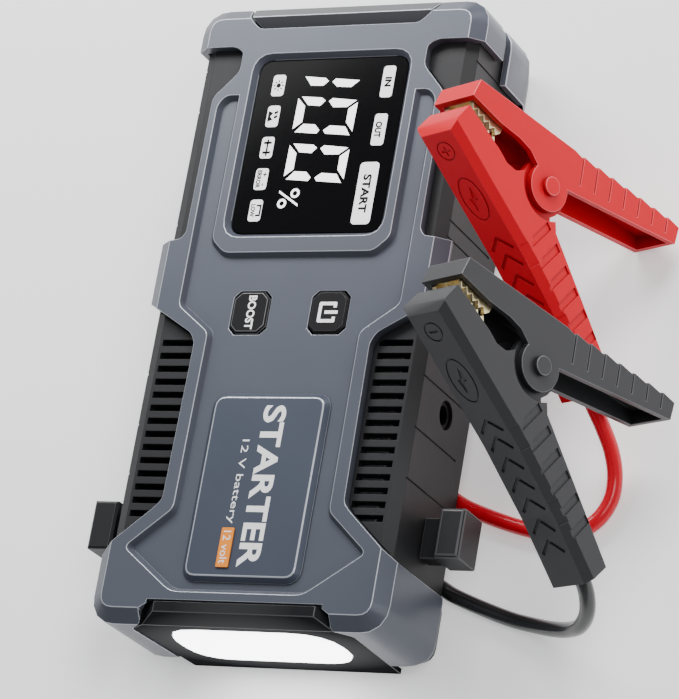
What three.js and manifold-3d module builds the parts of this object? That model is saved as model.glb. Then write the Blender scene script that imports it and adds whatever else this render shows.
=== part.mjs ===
// Jump starter pack: a battery pack lying on its back, with two short leads and two clamps.
// Millimetres. +X is across the pack, +Y towards its head end, +Z out of its front cover.
// The origin is on the surface it lies on, under the middle of the pack.
import * as THREE from "three";
import { mergeVertices } from "three/addons/utils/BufferGeometryUtils.js";
import Module from "manifold-3d";

const wasm = await Module();
wasm.setup();

// ---- driving dimensions ----
const GAP = 0.3; // clearance between neighbouring pieces
const FRONT = 48; // front plane of the cover
const CHANNEL = 46; // floor of the sunk channel in the cover
const COVER_BACK = 43.3; // underside of the cover's plate
const COVER = { halfWidth: 46.9, halfLength: 100.6, corner: 4.6 }; // flat front, inside its chamfer
const CHAMFER = { run: 4.5, rise: 3.6, rearRise: 10.4 };
const CASING = { halfWidth: 48.8, halfLength: 102.6, corner: 8, front: 44.8, back: 6.3, wall: 2.4 };
const BACK_PLATE = { bottom: 6.3, top: 8.7 };
const GUARD = { headY: 90.5, tailY: -82.6, headBottom: 30, bumperTop: 25.4 };
const BUTTON = { x: 13.9, y: -2, halfWidth: 6.4, halfHeight: 7.1, corner: 2.1, proud: 0.7, travel: 0.8 };
const HOOK = { y0: -76.7, y1: -60.7, inner: 56.6, outer: 65.1, bottom: 18.5, top: 32.6, stemTop: 26.5 };
const LENS = { halfWidth: 28.6, halfHeight: 14.3, z: 25.2, face: 105.4 };
const SIDE_SOCKET = { y: -27.6, z: 23.6, r: 4.7 };
const PORT_HINGE = { y: 104.2, z: 27.4 };
const VENT = { count: 14, pitch: 4.4, height: 2.1, inner: 32.6, outer: 44.2, topY: -9.5 };
const LEAD = { radius: 2.5, sides: 10 };
const CLAMP = {
  width: 17.5,
  wall: 2.2,
  edge: 2.3,
  discR: 7.7,
  pocketR: 10.8,
  pocketDepth: 2.5,
  tiltY: THREE.MathUtils.degToRad(67.55),
};

const COLOURS = {
  cover: [0x5d6472, 0.42, 0.15],
  casing: [0x26272a, 0.6, 0],
  dark: [0x17181a, 0.5, 0],
  gloss: [0x050506, 0.08, 0],
  rubber: [0x1b1c1e, 0.8, 0],
  plate: [0x565d6c, 0.4, 0.1],
  orange: [0xe07a1c, 0.5, 0],
  strip: [0x56575a, 0.45, 0.1],
  lens: [0xf4f6f8, 0.15, 0],
  board: [0x1f5b36, 0.6, 0],
  metal: [0xb6b8bc, 0.3, 1],
  brass: [0xc9a04e, 0.32, 1],
  cell: [0x8d9298, 0.4, 0.6],
  red: [0xd6262a, 0.42, 0],
  black: [0x2c2d31, 0.45, 0],
};

// ---- shapes ----
// A closed outline from corner points [x, y, corner radius].
function outline(points) {
  const shape = new THREE.Shape();
  const count = points.length;
  points.forEach(([x, y, r = 0], i) => {
    const [px, py] = points[(i + count - 1) % count];
    const [nx, ny] = points[(i + 1) % count];
    const here = new THREE.Vector2(x, y);
    const before = new THREE.Vector2(px - x, py - y).normalize().multiplyScalar(r).add(here);
    const after = new THREE.Vector2(nx - x, ny - y).normalize().multiplyScalar(r).add(here);
    if (i === 0) shape.moveTo(before.x, before.y);
    else shape.lineTo(before.x, before.y);
    if (r > 0) shape.quadraticCurveTo(x, y, after.x, after.y);
  });
  return shape;
}

// The whole outline from its right half, given from top to bottom.
const mirrored = (half) => [...half, ...half.map(([x, y, r]) => [-x, y, r]).reverse()];
const flipped = (points) => points.map(([x, y, r]) => [-x, y, r]).reverse();

function rectangle(halfX, halfY, r = 0, x = 0, y = 0) {
  return outline([
    [x + halfX, y + halfY, r],
    [x - halfX, y + halfY, r],
    [x - halfX, y - halfY, r],
    [x + halfX, y - halfY, r],
  ]);
}

// ---- geometry to solid and back ----
function solid(geometry) {
  const bare = geometry.clone();
  bare.deleteAttribute("normal");
  bare.deleteAttribute("uv");
  const merged = mergeVertices(bare.index ? bare.toNonIndexed() : bare, 1e-4);
  const mesh = new wasm.Mesh({
    numProp: 3,
    vertProperties: new Float32Array(merged.attributes.position.array),
    triVerts: new Uint32Array(merged.index.array),
  });
  return new wasm.Manifold(mesh);
}

function geometryOf(manifold) {
  const mesh = manifold.getMesh();
  const geometry = new THREE.BufferGeometry();
  geometry.setAttribute("position", new THREE.BufferAttribute(mesh.vertProperties, 3));
  geometry.setIndex(new THREE.BufferAttribute(mesh.triVerts, 1));
  return geometry;
}

// Straight up from z0 to z1.
function prism(shape, z0, z1, curveSegments = 4) {
  const geometry = new THREE.ExtrudeGeometry(shape, { depth: z1 - z0, bevelEnabled: false, curveSegments });
  return solid(geometry.translate(0, 0, z0));
}

// From z0 to z1 with both ends chamfered. The chamfers grow the shape by run.
function chamfered(shape, z0, z1, run, rise, { offset = 0, curveSegments = 4 } = {}) {
  const geometry = new THREE.ExtrudeGeometry(shape, {
    depth: z1 - z0 - 2 * rise,
    bevelThickness: rise,
    bevelSize: run,
    bevelOffset: offset,
    bevelSegments: 1,
    curveSegments,
  });
  return solid(geometry.translate(0, 0, z0 + rise));
}

function box(x0, x1, y0, y1, z0, z1) {
  const geometry = new THREE.BoxGeometry(x1 - x0, y1 - y0, z1 - z0);
  return solid(geometry.translate((x0 + x1) / 2, (y0 + y1) / 2, (z0 + z1) / 2));
}

// A round bar along X, Y or Z, centred on (x, y, z).
function bar(axis, r, length, x, y, z, sides = 24) {
  const geometry = new THREE.CylinderGeometry(r, r, length, sides);
  if (axis === "x") geometry.rotateZ(Math.PI / 2);
  if (axis === "z") geometry.rotateX(Math.PI / 2);
  return solid(geometry.translate(x, y, z));
}

// An outline in X and Z, extruded along Y from y0 to y1.
function alongY(points, y0, y1, curveSegments = 4) {
  const geometry = new THREE.ExtrudeGeometry(outline(points.map(([x, z, r]) => [x, -z, r])), {
    depth: y1 - y0,
    bevelEnabled: false,
    curveSegments,
  });
  return solid(geometry.rotateX(-Math.PI / 2).translate(0, y0, 0));
}

// An outline in Y and Z, extruded along X from x0 to x1.
function alongX(points, x0, x1) {
  const geometry = new THREE.ExtrudeGeometry(outline(points), { depth: x1 - x0, bevelEnabled: false });
  geometry.rotateX(Math.PI / 2).rotateZ(Math.PI / 2);
  return solid(geometry.translate(x0, 0, 0));
}

const joined = (first, ...rest) => rest.reduce((whole, next) => whole.add(next), first);
const cut = (first, ...rest) => rest.reduce((whole, next) => whole.subtract(next), first);

// ---- the model ----
const pack = new THREE.Group();

function material([colour, roughness, metalness]) {
  return new THREE.MeshStandardMaterial({ color: colour, roughness, metalness });
}

function piece(name, shape, colour, parent = pack) {
  const geometry = shape instanceof THREE.BufferGeometry ? shape : geometryOf(shape);
  const mesh = new THREE.Mesh(geometry, material(colour));
  mesh.name = name;
  parent.add(mesh);
  return mesh;
}

// ---- front cover ----
// Recesses that bare the casing beside the display and beside the name plate, right-hand ones.
const UPPER_RECESS = [
  [60, GUARD.headY],
  [36, GUARD.headY, 2],
  [33.2, 88.4, 1],
  [33.1, 81.5, 2],
  [41.3, 72.4, 2],
  [41.6, 25.2, 1],
  [43.2, 23, 1],
  [46.5, 22.5],
  [60, 22.5],
];
const VENT_RECESS = [
  [60, 2.6],
  [53, 2.6],
  [32.8, -9.4, 1.6],
  [31, -12.7, 1.6],
  [31.7, -65, 1.6],
  [34, -67.7, 1.6],
  [47, -79.3],
  [51.4, GUARD.tailY],
  [60, GUARD.tailY],
];
// The sunk channel runs up both sides of the display bezel and down round the name plate.
const CHANNEL_HALF = [
  [36.4, 73.2, 1.8],
  [39.1, 70, 1.8],
  [39.1, 0, 2],
  [26.8, -9.2, 2],
  [27.2, -68, 2],
  [42.1, -81, 2.4],
  [22.9, -95, 3],
];
const BEZEL_HALF = [
  [31.5, 73.2, 0],
  [31.5, 22.7, 2],
  [26.4, 18, 2],
];
const CHANNEL_OUTLINE = [
  ...CHANNEL_HALF,
  ...flipped(CHANNEL_HALF),
  ...flipped(BEZEL_HALF).reverse(),
  ...BEZEL_HALF.slice().reverse(),
];
const DISPLAY = { halfWidth: 26.9, halfLength: 30.6, y: 55.4, corner: 5, slope: 1.6 };
const PORT_NOTCH = mirrored([
  [36.8, 112],
  [33, 100.7, 1.5],
  [28.6, 96.6, 1.5],
]);
const LAMP_NOTCH = mirrored([
  [28.4, -97.7, 1],
  [33, -100.7],
  [33, -112],
]);
const LAMP_OPENING = [
  [28.4, 50],
  [38.6, 39.5, 2],
  [37, -1],
  [-37, -1],
  [-38.6, 39.5, 2],
  [-28.4, 50],
];

function buttonOutline(grow = 0) {
  const w = BUTTON.halfWidth + grow;
  const h = BUTTON.halfHeight + grow;
  const c = BUTTON.corner;
  const corners = [
    [w, h - c],
    [w - c, h],
    [-w + c, h],
    [-w, h - c],
    [-w, -h + c],
    [-w + c, -h],
    [w - c, -h],
    [w, -h + c],
  ];
  return (x) => outline(corners.map(([cx, cy]) => [cx + x, cy + BUTTON.y]));
}

function packEnvelope() {
  const face = rectangle(COVER.halfWidth, COVER.halfLength, COVER.corner);
  const front = chamfered(face, -10, FRONT, CHAMFER.run, CHAMFER.rise);
  const rear = chamfered(face, 0, FRONT + 20, CHAMFER.run, CHAMFER.rearRise);
  return front.intersect(rear);
}

const casingOutline = (grow = 0) =>
  rectangle(CASING.halfWidth + grow, CASING.halfLength + grow, CASING.corner + grow);

const envelope = packEnvelope();

function frontCover() {
  const inside = prism(casingOutline(GAP), -1, COVER_BACK);
  const waist = box(-60, 60, GUARD.tailY, GUARD.headY, -1, COVER_BACK);
  const underHead = box(-60, 60, GUARD.headY - 1, 110, -1, GUARD.headBottom);
  const recesses = [UPPER_RECESS, VENT_RECESS].flatMap((points) => [
    prism(outline(points), 40, 50),
    prism(outline(flipped(points)), 40, 50),
  ]);
  const channel = chamfered(outline(CHANNEL_OUTLINE), CHANNEL, 60, 1.3, FRONT - CHANNEL, { offset: -1.3 });
  const glass = rectangle(DISPLAY.halfWidth, DISPLAY.halfLength, DISPLAY.corner, 0, DISPLAY.y);
  const well = chamfered(glass, CHANNEL, 60, DISPLAY.slope, FRONT - CHANNEL);
  const window = prism(glass, 40, 50);
  const buttons = [-BUTTON.x, BUTTON.x].map((x) => prism(buttonOutline(GAP)(x), 40, 50));
  const portNotch = prism(outline(PORT_NOTCH), 20, 60);
  const lampNotch = prism(outline(LAMP_NOTCH), COVER_BACK - 1, 60);
  const lampOpening = alongY(LAMP_OPENING, -112, -97.7);
  return cut(envelope, inside, waist, underHead, ...recesses, channel, well, window, ...buttons, portNotch,
    lampNotch, lampOpening);
}
piece("front_cover", frontCover(), COLOURS.cover);

// ---- casing ----
// A tub open at the back. Its front is raised where the cover's recesses bare it, and slotted for cooling.
const WINDOW = { halfWidth: 24.5, halfLength: 28.5 }; // in the casing, for the display module

function casingRaised(points) {
  return cut(prism(outline(points), COVER_BACK - 1, 50), edgeGap(points));
}

// A thin wall of clearance along a recess outline.
function edgeGap(points) {
  const strips = points.slice(1, -1).map(([x, y], i, all) => {
    if (i === all.length - 1) return null;
    const [nx, ny] = all[i + 1];
    const length = Math.hypot(nx - x, ny - y);
    const strip = new THREE.BoxGeometry(length + 1.6, 2 * GAP, 12);
    strip.rotateZ(Math.atan2(ny - y, nx - x));
    return solid(strip.translate((x + nx) / 2, (y + ny) / 2, 46));
  });
  return joined(...strips.filter(Boolean));
}

function ventSlots(side) {
  const slots = [];
  for (let i = 0; i < VENT.count; i += 1) {
    const y = VENT.topY - VENT.pitch * (i + 0.5);
    slots.push(box(VENT.inner, VENT.outer, y - VENT.height / 2, y + VENT.height / 2, 38, 50));
  }
  const field = outline([
    [VENT.outer, -5.2],
    [VENT.inner, -11.5],
    [VENT.inner, -66.3],
    [VENT.outer, -76.2],
  ]);
  const both = joined(...slots).intersect(prism(field, 38, 50));
  return side > 0 ? both : both.mirror([1, 0, 0]);
}

function sideGrooves(side) {
  const x0 = side * CASING.halfWidth;
  return [84.5, 70, 30, 24.5, -21.5, -38.5, -55].map((y) =>
    box(x0 - 0.4, x0 + 0.4, y - 0.35, y + 0.35, 12, CASING.front));
}

function casing() {
  const face = rectangle(CASING.halfWidth - 3.7, CASING.halfLength - 3.7, CASING.corner - 3.7);
  const outer = cut(chamfered(face, -10, CASING.front, 3.7, 2.4), box(-60, 60, -120, 120, -20, CASING.back));
  const raised = [UPPER_RECESS, VENT_RECESS].flatMap((points) => {
    const right = casingRaised(points);
    return [right, right.mirror([1, 0, 0])];
  });
  const slab = box(-60, 60, -120, 120, 0, COVER_BACK - GAP);
  const body = outer.intersect(joined(slab, ...raised));
  const w = CASING.wall;
  const cavity = prism(rectangle(CASING.halfWidth - w, CASING.halfLength - w, CASING.corner - w),
    0, COVER_BACK - GAP - w);
  const window = prism(rectangle(WINDOW.halfWidth, WINDOW.halfLength, 2, 0, DISPLAY.y), 38, 50);
  const buttons = [-BUTTON.x, BUTTON.x].map((x) => prism(rectangle(4.2, 4.2, 1, x, BUTTON.y), 38, 50));
  const lampWindow = alongY(lensOutline(GAP), -105, -98);
  const socketHole = bar("x", SIDE_SOCKET.r, 10, CASING.halfWidth, SIDE_SOCKET.y, SIDE_SOCKET.z);
  const ports = [box(-18.6, -8.4, 98, 105, 31.6, 35.6), box(1.2, 16.2, 98, 105, 30.2, 36.6)];
  return cut(body, cavity, window, ...buttons, lampWindow, socketHole, ...ports,
    ventSlots(1), ventSlots(-1), ...sideGrooves(1), ...sideGrooves(-1));
}

// The lamp's round-ended outline, in X and Z.
function lensOutline(grow = 0) {
  const w = LENS.halfWidth + grow;
  const h = LENS.halfHeight + grow;
  const z = LENS.z;
  return [
    [w, z + h, h * 0.9],
    [-w, z + h, h * 0.9],
    [-w, z - h, h * 0.9],
    [w, z - h, h * 0.9],
  ];
}
piece("mid_casing", casing(), COLOURS.casing);

// ---- display, name plate and buttons ----
piece("display_window",
  prism(rectangle(DISPLAY.halfWidth - GAP, DISPLAY.halfLength - GAP, DISPLAY.corner - GAP, 0, DISPLAY.y),
    44.2, CHANNEL - 0.1, 5), COLOURS.gloss);
piece("display_module", box(-24, 24, DISPLAY.y - 28, DISPLAY.y + 28, 40.2, 43.9), COLOURS.dark);

const PLATE = { halfWidth: 18.9, halfLength: 29.2, y: -60.3, corner: 3.4 };
const plateFace = rectangle(PLATE.halfWidth, PLATE.halfLength, PLATE.corner, 0, PLATE.y);
piece("name_plate",
  cut(chamfered(plateFace, 40, FRONT, 1.9, FRONT - CHANNEL - GAP), box(-40, 40, -120, 0, 30, CHANNEL + GAP)),
  COLOURS.plate);
piece("badge_tag", prism(rectangle(2.15, 6.4, 0.4, -6.15, -80.5), FRONT + 0.05, FRONT + 0.5), COLOURS.orange);

for (const [name, x] of [["boost_button", -BUTTON.x], ["power_button", BUTTON.x]]) {
  const top = CHANNEL + BUTTON.proud;
  const cap = cut(chamfered(buttonOutline(-0.7)(x), 44.1, top, 0.7, 0.6),
    prism(rectangle(4.6, 5.2, 1, x, BUTTON.y), 40, top - 1.4));
  const stem = bar("z", 1.6, 4.6, x, BUTTON.y, 43.5, 12);
  piece(name, joined(cap, stem), COLOURS.dark);
}

// ---- rear cover, bumpers and feet ----
const BAY = { x0: 3, y0: -81.5, y1: -30, top: 11 };

function rearCover() {
  const w = CASING.wall + GAP;
  const plate = prism(rectangle(CASING.halfWidth - w, CASING.halfLength - w, CASING.corner - w),
    BACK_PLATE.bottom, BACK_PLATE.top);
  const bayBlock = box(BAY.x0 - 2, 45.9, BAY.y0 - 0.5, BAY.y1 + 2, BACK_PLATE.bottom, BAY.top + 2);
  const bay = box(BAY.x0, 60, BAY.y0 + 1.6, BAY.y1, 0, BAY.top);
  const screws = SCREWS.map(([x, y]) => bar("z", 2.9, 1.6, x, y, BACK_PLATE.bottom, 16));
  return cut(joined(plate, bayBlock), bay, ...screws);
}
const SCREWS = [
  [-38, 76],
  [38, 76],
  [-38, 0],
  [38, 0],
  [-38, -74],
];
piece("rear_cover", rearCover(), COLOURS.casing);

const screwHead = ([x, y]) => bar("z", 2.5, 0.7, x, y, BACK_PLATE.bottom + 0.4, 12);
SCREWS.forEach((at, i) => piece(`rear_screw_${i + 1}`, screwHead(at), COLOURS.metal));

function headBumper() {
  const block = envelope.intersect(box(-60, 60, 84, 110, -1, GUARD.bumperTop));
  return cut(block, prism(casingOutline(GAP), CASING.back - GAP, 60));
}
piece("head_bumper", headBumper(), COLOURS.cover);

function tailFoot() {
  const ring = prism(casingOutline(-0.3), 0, CASING.back - GAP);
  const block = ring.intersect(box(-60, 60, -110, GUARD.tailY - 1.6, 0, 20));
  return block.intersect(envelope);
}
piece("tail_foot", tailFoot(), COLOURS.rubber);

// ---- head end: sockets under a hinged cover ----
function portCover() {
  const h = PORT_HINGE;
  const profile = alongX([
    [h.y + 1.2, h.z - 0.2],
    [105.4, 44],
    [101.2, 47.7],
    [97.4, 45.2],
    [97.4, 43.6],
    [103.3, 43.6],
    [103.3, h.z - 0.2],
    [h.y - 0.5, h.z - 0.9],
    [h.y + 0.5, h.z - 0.9],
  ], -40, 40);
  const inset = mirrored([
    [36, 112],
    [32.3, 100.9],
    [28.1, 97.2],
    [28.1, 90],
  ]);
  return profile.intersect(prism(outline(inset), 20, 60));
}
piece("port_cover", portCover(), COLOURS.strip);

const usbC = cut(box(-18.2, -8.8, 93, 102, 32, 35.2), prismSlot(-13.5, 33.6, 3.9, 1.1, 94.5));
const usbA = cut(box(1.6, 15.8, 88, 102, 30.6, 36.2), box(2.4, 15, 90, 103, 31.4, 35.4));
function prismSlot(x, z, halfX, halfZ, y0) {
  return alongY([
    [x + halfX, z + halfZ, 1],
    [x - halfX, z + halfZ, 1],
    [x - halfX, z - halfZ, 1],
    [x + halfX, z - halfZ, 1],
  ], y0, 110);
}
piece("usb_c_socket", usbC, COLOURS.metal);
piece("usb_a_socket", usbA, COLOURS.metal);

// ---- tail end: work lamp ----
function lampPanel() {
  const face = LAMP_OPENING.map(([x, z, r]) => [x - Math.sign(x) * 0.5, Math.min(z, 47.6), r]);
  face[2][1] = 0.4;
  face[3][1] = 0.4;
  const front = alongY(face, -104.7, -102.9);
  const lip = alongY(face, -104.7, -98.1).intersect(box(-60, 60, -110, -90, COVER_BACK, 60));
  const slope = alongX([
    [-90, 60],
    [-112, 60],
    [-112, 30],
    [-104.9, 43],
    [-101.5, 47.6],
    [-90, 47.6],
  ], -60, 60);
  return cut(joined(front, lip), slope, alongY(lensOutline(GAP), -110, -90));
}
piece("lamp_panel", lampPanel(), COLOURS.dark);
piece("lamp_lens", alongY(lensOutline(), -LENS.face, -102.2, 8), COLOURS.lens);

function lampReflector() {
  const outer = alongY(lensOutline(-0.2), -101.8, -95);
  return cut(outer, alongY(lensOutline(-2), -103, -96.5));
}
piece("lamp_reflector", lampReflector(), COLOURS.metal);
piece("lamp_board", box(-24, 24, -94.6, -93.2, 12, 38), COLOURS.board);

// ---- sides: hooks and the round socket ----
function hook(side) {
  const block = chamfered(
    rectangle((HOOK.outer - HOOK.inner) / 2 - 0.8, (HOOK.y1 - HOOK.y0) / 2 - 0.8, 0,
      (HOOK.outer + HOOK.inner) / 2, (HOOK.y0 + HOOK.y1) / 2),
    HOOK.bottom, HOOK.top, 0.8, 0.8);
  const stem = box(CASING.halfWidth + GAP, HOOK.inner + 2, HOOK.y0 + 1.4, HOOK.y1 - 1.4,
    HOOK.bottom + 0.9, HOOK.stemTop);
  const whole = joined(block, stem);
  return side > 0 ? whole : whole.mirror([1, 0, 0]);
}
piece("right_hook", hook(1), COLOURS.dark);
piece("left_hook", hook(-1), COLOURS.dark);

const dcSocket = cut(bar("x", 4.4, 10, 42.8, SIDE_SOCKET.y, SIDE_SOCKET.z),
  bar("x", 3.1, 10, 44.4, SIDE_SOCKET.y, SIDE_SOCKET.z));
const dcPin = bar("x", 0.9, 7, 42.4, SIDE_SOCKET.y, SIDE_SOCKET.z, 12);
piece("dc_socket", joined(dcSocket, dcPin), COLOURS.dark);

// ---- inside: cells, boards and power parts ----
const CELL = { halfWidth: 36, y0: -84, y1: 16, pitch: 6.6, thickness: 6.2, bottom: 13.6 };
for (let i = 0; i < 3; i += 1) {
  const z = CELL.bottom + i * CELL.pitch;
  const shape = rectangle(CELL.halfWidth, (CELL.y1 - CELL.y0) / 2, 2, 0, (CELL.y0 + CELL.y1) / 2);
  piece(`battery_cell_${i + 1}`, prism(shape, z, z + CELL.thickness), COLOURS.cell);
}
piece("main_board", box(-42, 42, 20, 98, 28.4, 30), COLOURS.board);
piece("button_board", box(-24, 24, -10, 6, 36.2, 37.4), COLOURS.board);
for (const [name, x] of [["boost_switch", -BUTTON.x], ["power_switch", BUTTON.x]]) {
  const body = box(x - 3, x + 3, BUTTON.y - 3, BUTTON.y + 3, 37.6, 39.4);
  piece(name, joined(body, bar("z", 1.3, 0.8, x, BUTTON.y, 39.7, 12)), COLOURS.metal);
}
function heatSink() {
  const fins = [0, 1, 2, 3, 4, 5].map((i) => box(-36 + i * 5, -34.4 + i * 5, 26, 62, 20, 28.1));
  return joined(box(-36, -9.4, 26, 62, 17, 20.1), ...fins);
}
piece("heat_sink", heatSink(), COLOURS.metal);
piece("start_relay", prism(rectangle(12, 16, 1, 18, 46), 12, 27.8), COLOURS.dark);

// ---- leads ----
const OUTLET = { x0: 6, x1: 18.6, y0: -77.4, y1: -31.5, bottom: 0.8, top: 10.7 };
const BOOT = { length: 14, wide: 4, narrow: 3 };
// Route points by hand: out of the boot, under the pack's edge, along the surface, up into the clamp.
const RED_ROUTE = [
  [34.4, -42, 4.6],
  [40, -44.6, 3.4],
  [46.3, -48.1, 2.7],
  [51.2, -50.6, 2.7],
  [62.8, -54.6, 2.7],
  [72.7, -57.2, 2.7],
  [82, -58.6, 2.7],
  [89.5, -57.6, 2.7],
  [95.6, -53.6, 2.7],
  [99.2, -47, 3],
  [100, -40, 4.6],
  [99.4, -33.6, 8.2],
  [97.7, -27.6, 13.4],
  [95.6, -22.2, 18.9],
  [93, -15.6, 25.2],
  [89.6, -7, 33.4],
];
const BLACK_ROUTE = [
  [34.4, -71, 4.6],
  [40, -73.6, 3.4],
  [46.8, -77, 2.7],
  [50.9, -79.2, 2.7],
  [64, -84, 2.7],
  [73, -86.8, 3.1],
  [81.5, -88.9, 5],
  [89.5, -90.9, 8.6],
  [97, -92.3, 13.6],
  [103, -92.6, 19.6],
  [107.2, -90.2, 26],
  [108.6, -85.8, 32.4],
  [107.2, -80.2, 39],
  [103.2, -71.2, 48],
];;

function boot(route) {
  const [x, y, z] = route[0];
  const geometry = new THREE.LatheGeometry(
    [[0, 0], [BOOT.wide, 0], [BOOT.wide, 3], [BOOT.narrow, BOOT.length], [0, BOOT.length]]
      .map(([r, h]) => new THREE.Vector2(r, h)), 16);
  const end = new THREE.Vector3(x, y, z);
  const way = new THREE.Vector3(BOOT.length, -6.2, -1).normalize();
  geometry.applyQuaternion(new THREE.Quaternion().setFromUnitVectors(new THREE.Vector3(0, 1, 0), way));
  const at = end.clone().addScaledVector(way, -BOOT.length - GAP);
  return geometry.translate(at.x, at.y, at.z);
}

function lead(route) {
  const curve = new THREE.CatmullRomCurve3(route.map((p) => new THREE.Vector3(...p)), false, "centripetal");
  const section = new THREE.Shape();
  for (let i = 0; i < LEAD.sides; i += 1) {
    const angle = (2 * Math.PI * i) / LEAD.sides;
    const x = LEAD.radius * Math.cos(angle);
    const y = LEAD.radius * Math.sin(angle);
    if (i === 0) section.moveTo(x, y);
    else section.lineTo(x, y);
  }
  const steps = Math.min(80, Math.round(curve.getLength() / 4));
  return new THREE.ExtrudeGeometry(section, { steps, extrudePath: curve, bevelEnabled: false });
}

piece("lead_outlet", box(OUTLET.x0, OUTLET.x1, OUTLET.y0, OUTLET.y1, OUTLET.bottom, OUTLET.top), COLOURS.dark);
piece("red_lead_boot", solid(boot(RED_ROUTE)), COLOURS.red);
piece("black_lead_boot", solid(boot(BLACK_ROUTE)), COLOURS.black);
piece("red_lead", solid(lead(RED_ROUTE)), COLOURS.red);
piece("black_lead", solid(lead(BLACK_ROUTE)), COLOURS.black);

// ---- clamps ----
// In a clamp's own frame x runs from the jaws to the handles, y towards the upper handle, and z along the
// pivot. The pivot is its origin.
const HALF = CLAMP.width / 2;
const arc = (r, from, to, steps) =>
  Array.from({ length: steps + 1 }, (_, i) => {
    const angle = THREE.MathUtils.degToRad(from + ((to - from) * i) / steps);
    return [r * Math.cos(angle), r * Math.sin(angle)];
  });

// Lower half, the one the lead goes into.
const LOWER_BACK = [
  [-40.6, 3.0],
  [-3.6, -24.1],
  [15.9, -40.5],
  [32.6, -56.6],
];
const LOWER_FRONT = [
  [38.2, -49.8],
  [5.6, -13.2],
  ...arc(9.2, -62, 165, 14),
  [-11.6, 0.9],
  [-14.4, -0.3],
  [-18.4, 0.6],
  [-22, 3.4],
  [-36.7, 12.2],
  [-40.6, 6.6],
];
const RIBS = { count: 7, first: 12.2, pitch: 6.4, step: 0.9 };
const handleTop = (x) => 15.4 - (x - 8.3) * 0.129; // the upper handle's back, before its ribs step it
// Each rib falls away from the groove before it.
const RIBBED_BACK = Array.from({ length: RIBS.count }, (_, i) => RIBS.first + RIBS.pitch * i)
  .flatMap((x) => [[x, handleTop(x) - RIBS.step], [x + 0.05, handleTop(x)]])
  .reverse();
const UPPER_BACK = [
  [56.3, handleTop(56.3) - RIBS.step],
  ...RIBBED_BACK,
  [8.3, handleTop(8.3)],
  [-33.9, 21.8],
  [-36.0, 15.9],
];
const UPPER_FRONT = [
  [-23.7, 11.9],
  [-14.8, 10.2],
  [-9.8, 8.3],
  ...arc(CLAMP.discR, 141, 374, 16),
  [55.6, 2.5],
];

// The space inside a channel-shaped half: its back line moved in by one wall, and open to the front.
function hollow(back, shift, open) {
  const inner = back.map(([x, y]) => [x + shift[0], y + shift[1]]);
  return prism(outline([...inner, ...open]), -HALF + CLAMP.wall, HALF - CLAMP.wall);
}

// Shallow recesses in a cheek, where the fingers grip.
function gripRecesses() {
  const first = [
    [-3.6, -17.6],
    [1.4, -10.9],
    [3.4, -12.9],
    [-2.9, -21.2],
  ];
  return [0, 1, 2, 3, 4, 5].flatMap((i) => {
    const recess = prism(outline(first.map(([x, y]) => [x + 5.05 * i, y - 5.25 * i])), HALF - 0.45, HALF + 1);
    return [recess, recess.mirror([0, 0, 1])];
  });
}

// Moves a mark, made flat with X along the clamp, onto a stretch of the lower half's back.
function onBack(geometry, stretch, along) {
  const [[x0, y0], [x1, y1]] = LOWER_BACK.slice(stretch, stretch + 2);
  const run = new THREE.Vector3(x1 - x0, y1 - y0, 0).normalize();
  const across = new THREE.Vector3(0, 0, 1);
  const place = new THREE.Matrix4().makeBasis(run, across, run.clone().cross(across));
  place.setPosition(x0 + run.x * along, y0 + run.y * along, 0);
  return solid(geometry.applyMatrix4(place));
}

const MARK = { depth: 0.35, line: 0.55, chevron: 0.6 };
const flatMark = (shape) =>
  new THREE.ExtrudeGeometry(shape, { depth: 1, bevelEnabled: false }).translate(0, 0, -MARK.depth);

function ovalGroove(halfX, halfY) {
  const shape = new THREE.Shape().absellipse(0, 0, halfX, halfY, 0, 2 * Math.PI);
  shape.holes.push(new THREE.Path().absellipse(0, 0, halfX - MARK.line, halfY - MARK.line, 0, 2 * Math.PI));
  return new THREE.ExtrudeGeometry(shape, { depth: 1, bevelEnabled: false, curveSegments: 12 })
    .translate(0, 0, -MARK.depth);
}

function backMarks(sign) {
  const stroke = () => new THREE.BoxGeometry(3.4, 0.7, 2 * MARK.depth);
  const bolt = outline([
    [-4.6, 0.9],
    [0.5, 1.7],
    [0.3, 0.5],
    [4.6, -0.9],
    [-0.5, -1.7],
    [-0.3, -0.5],
  ]);
  const marks = [
    onBack(ovalGroove(3.4, 3.4), 0, 6.4),
    onBack(stroke().rotateZ(Math.PI / 2), 0, 6.4),
    onBack(ovalGroove(7.8, 4.5), 0, 23.6),
    onBack(flatMark(bolt), 0, 23.6),
  ];
  if (sign > 0) marks.push(onBack(stroke(), 0, 6.4));
  for (const [stretch, along] of [[0, 37.8], [0, 44], [1, 5.2], [1, 12.2], [1, 19.2], [2, 1], [2, 8]]) {
    for (const side of [-1, 1]) {
      const arm = new THREE.BoxGeometry(6.4, 1.1, 2 * MARK.chevron).rotateZ(side * 0.82);
      marks.push(onBack(arm.translate(2.05, side * 2.2, 0), stretch, along));
    }
  }
  return marks;
}

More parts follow.
